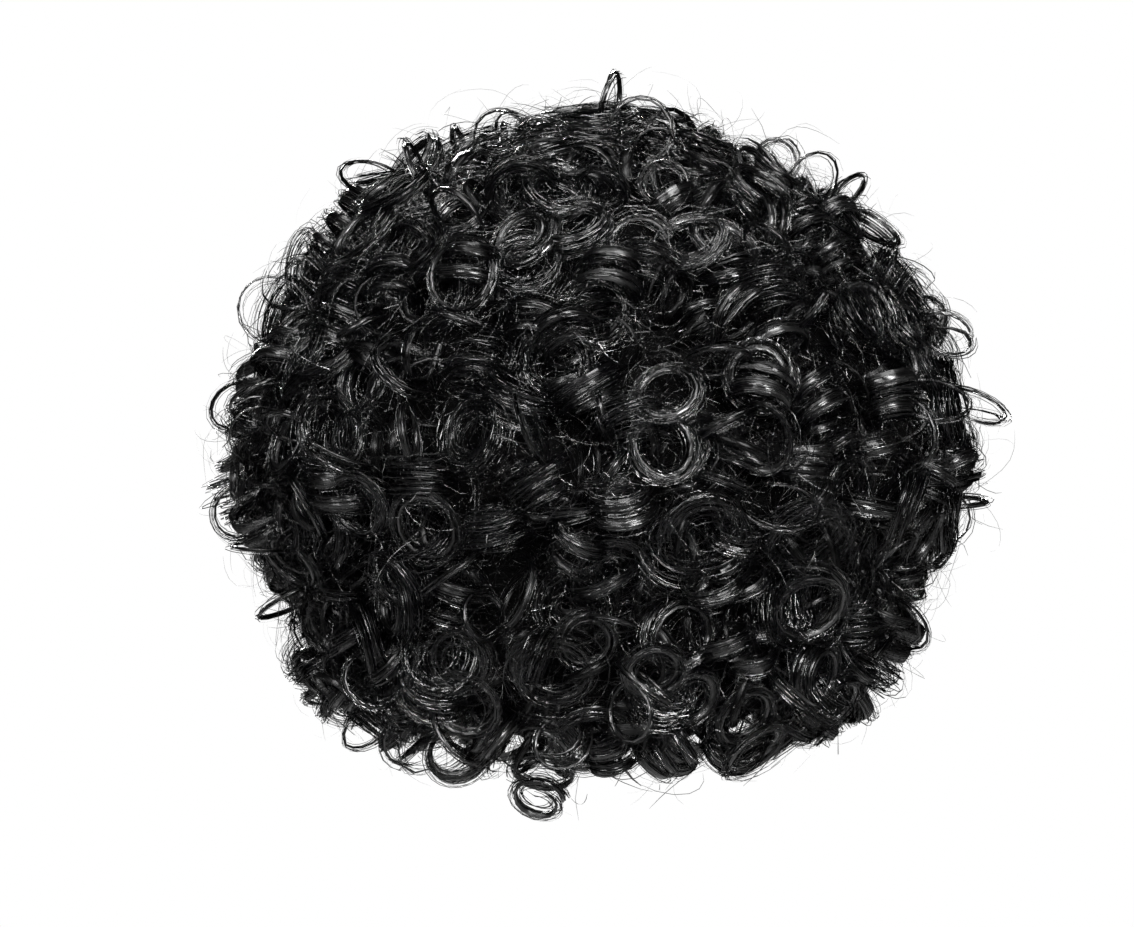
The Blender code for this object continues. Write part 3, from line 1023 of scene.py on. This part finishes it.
@dataclass
class Underlayer:
    """The dense hair between the cap and the ringlets, one lumpy piece a section."""

    form: HairForm
    material: bpy.types.Material
    depth: float = 14 * MM
    lump: float = 8 * MM
    lump_size: float = 26 * MM
    fringe_rise: float = math.radians(8)
    least_wall: float = 4 * MM

    def span(
        self, section: Section, across: Array, down: Array
    ) -> tuple[Array, Array]:
        """Polar angles and turns over a section, from shares across and down it."""
        if section.side:
            front, rear = section.front, section.rear
        elif section.rear == 180:
            front, rear = section.front, 360 - section.front
        else:
            front, rear = -section.rear, section.rear
        if section.name == "crown":
            front, rear = 0, 360
        turn = np.radians(front + (rear - front) * across)
        if section.side:
            turn = turn * section.side
        free = section.bottom == HEM_BOTTOM
        wrapped = np.abs((turn + math.pi) % FULL_TURN - math.pi)
        hem = self.form.hem_at(wrapped) - math.radians(1)
        bottom = hem if free else np.radians(section.bottom) + 0 * turn
        if section.name == "fringe":
            bottom = bottom - self.fringe_rise
        top = math.radians(max(section.top, 0.5))
        return top + (bottom - top) * down, turn

    def build(self) -> None:
        """Makes each section's underlayer."""
        for section in SECTIONS:
            self.piece(section)

    def piece(self, section: Section) -> None:
        """Bends a slab to a section and makes its outside lumpy."""
        bpy.ops.object.select_all(action="DESELECT")
        bpy.ops.mesh.primitive_grid_add(x_subdivisions=36, y_subdivisions=26, size=1, location=(0.5, 0.5, 0))
        made = bpy.context.object
        bpy.ops.object.transform_apply(location=True)
        bpy.ops.object.mode_set(mode="EDIT")
        bpy.ops.mesh.select_all(action="SELECT")
        bpy.ops.mesh.extrude_region_move(TRANSFORM_OT_translate={"value": (0, 0, 1)})
        bpy.ops.object.mode_set(mode="OBJECT")
        mesh = made.data
        shares = np.empty(len(mesh.vertices) * 3)
        mesh.vertices.foreach_get("co", shares)
        shares = shares.reshape(-1, 3)
        polar, turn = self.span(section, shares[:, 0], shares[:, 1])
        inner = self.form.inner(polar, turn)
        outer = np.maximum(self.form.outer(polar, turn) - self.depth, inner + self.least_wall)
        reach = inner + (outer - inner) * np.clip(shares[:, 2], 0, 1)
        points = self.form.centre() + self.form.way(polar, turn) * reach[:, None]
        mesh.vertices.foreach_set("co", points.ravel())
        mesh.update()
        outside = made.vertex_groups.new(name="outside")
        outside.add([int(place) for place in np.flatnonzero(shares[:, 2] > 0.5)], 1.0, "REPLACE")
        bpy.ops.object.mode_set(mode="EDIT")
        bpy.ops.mesh.select_all(action="SELECT")
        bpy.ops.mesh.remove_doubles(threshold=0.05 * MM)
        bpy.ops.mesh.normals_make_consistent(inside=False)
        bpy.ops.object.mode_set(mode="OBJECT")
        lumps = bpy.data.textures.new(f"{section.name}_lumps", "CLOUDS")
        lumps.noise_scale = self.lump_size
        raised = made.modifiers.new("lumps", "DISPLACE")
        raised.texture = lumps
        raised.texture_coords = "LOCAL"
        raised.vertex_group = "outside"
        raised.strength = self.lump
        bpy.ops.object.modifier_apply(modifier="lumps")
        bpy.ops.object.shade_smooth()
        made.name = f"{section.name}_underlayer"
        mesh.name = made.name
        mesh.materials.append(self.material)
        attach(made, "root")
        LOG.info("%s: %d faces", made.name, len(mesh.polygons))


@dataclass
class Studio:
    """The pale studio, its soft lights and the camera behind the wig."""

    mm_a_pixel: float = 0.48
    distance: float = 2.6
    crown_pixel: tuple[float, float] = (600, 305)
    floor_drop: float = 2.0
    floor_radius: float = 14.0
    sensor_mm: float = 36.0
    lamp_aim: tuple[float, float, float] = (0, 0, -0.08)

    def camera(self) -> None:
        """Sets the camera level behind the wig, with the photograph's framing."""
        wide, high = PHOTO_SIZE
        pixel = self.mm_a_pixel * MM
        aim_x = (self.crown_pixel[0] - wide / 2) * pixel
        aim_z = (self.crown_pixel[1] - high / 2) * pixel
        made = bpy.data.cameras.new("camera")
        made.sensor_width = self.sensor_mm
        made.lens = self.sensor_mm * self.distance / (wide * pixel)
        made.clip_end = 100
        holder = bpy.data.objects.new("camera", made)
        holder.location = (aim_x, self.distance, aim_z)
        holder.rotation_euler = (math.pi / 2, 0, math.pi)
        bpy.context.scene.collection.objects.link(holder)
        bpy.context.scene.camera = holder

    def light(self, name: str, place: tuple[float, float, float], size: float, power: float) -> None:
        """Adds a square soft light that faces the wig."""
        lamp = bpy.data.lights.new(name, "AREA")
        lamp.size = size
        lamp.energy = power
        holder = bpy.data.objects.new(name, lamp)
        holder.location = place
        aim = Vector(self.lamp_aim) - Vector(place)
        holder.rotation_euler = aim.to_track_quat("-Z", "Y").to_euler()
        bpy.context.scene.collection.objects.link(holder)

    def floor(self) -> None:
        """Lays the pale floor far below the wig; the glow that keeps it pale is for the camera alone."""
        bpy.ops.object.select_all(action="DESELECT")
        bpy.ops.mesh.primitive_circle_add(
            vertices=96, radius=self.floor_radius, fill_type="NGON", location=(0, 0, -self.floor_drop)
        )
        made = bpy.context.object
        bpy.ops.object.transform_apply(location=True)
        made.name = "studio_floor"
        paper, tree, shader = new_material("white_paper")
        ray = add_node(tree, "ShaderNodeLightPath")
        links = {"Emission Strength": spread(tree, 0.0, 0.8, ray.outputs["Is Camera Ray"])}
        values = {
            "Base Color": linear_colour("#b4b4b4"),
            "Roughness": 0.9,
            "Emission Color": linear_colour("#f4f4f4"),
        }
        feed(tree, shader, links, values)
        made.data.materials.append(paper)

    def world(self) -> None:
        """Surrounds the set with white for the camera, which lights the wig only a little."""
        world = bpy.data.worlds.new("studio")
        world.use_nodes = True
        tree = world.node_tree
        back = tree.nodes["Background"]
        ray = add_node(tree, "ShaderNodeLightPath")
        links = {"Strength": spread(tree, 0.03, 1.0, ray.outputs["Is Camera Ray"])}
        feed(tree, back, links, {"Color": (1, 1, 1, 1)})
        bpy.context.scene.world = world

    def build(self) -> None:
        """Sets up the studio."""
        bpy.context.scene.view_settings.view_transform = "Standard"
        self.camera()
        self.floor()
        self.world()
        self.light("key_left", (1.3, 2.2, 0.8), 1.0, 155)
        self.light("key_right", (-0.9, 2.5, 0.9), 1.0, 430)
        self.light("top", (0, 0.6, 2.1), 1.0, 100)
        self.light("front", (0.5, -2.5, 0.9), 1.0, 230)


def main() -> None:
    """Builds the wig's pieces and the studio round the frame."""
    logging.basicConfig(level=logging.INFO, format="%(name)s: %(message)s")
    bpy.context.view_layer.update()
    form = HairForm()
    fibre, lock = FibreFinish().material(), LockFinish().material()
    shaded = LockFinish(name="black_shaded_lock", specular=0.1).material()
    curls = Curls(form, [fibre, lock, shaded])
    curls.build()
    for hairs in (
        LooseHairs(
            name="frizz_hairs",
            form=form,
            spacing=6.2 * MM,
            width=0.34 * MM,
            lift=(-8 * MM, 9 * MM),
            radius=(7 * MM, 26 * MM),
            length=(12 * MM, 45 * MM),
            hem_margin=math.radians(1),
            steps=7,
            seed=71,
        ),
        LooseHairs(
            name="flyaway_hairs",
            form=form,
            spacing=9 * MM,
            width=0.15 * MM,
            lift=(4 * MM, 14 * MM),
            radius=(10 * MM, 26 * MM),
            length=(25 * MM, 60 * MM),
            hem_margin=math.radians(8),
            steps=10,
            seed=77,
        ),
    ):
        hairs.build(curls, fibre)
    Underlayer(form, UnderlayerFinish().material()).build()
    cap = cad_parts["cap"]
    cap.data.materials.clear()
    cap.data.materials.append(NetFinish().material())
    Studio().build()


if __name__ == "__main__":
    main()
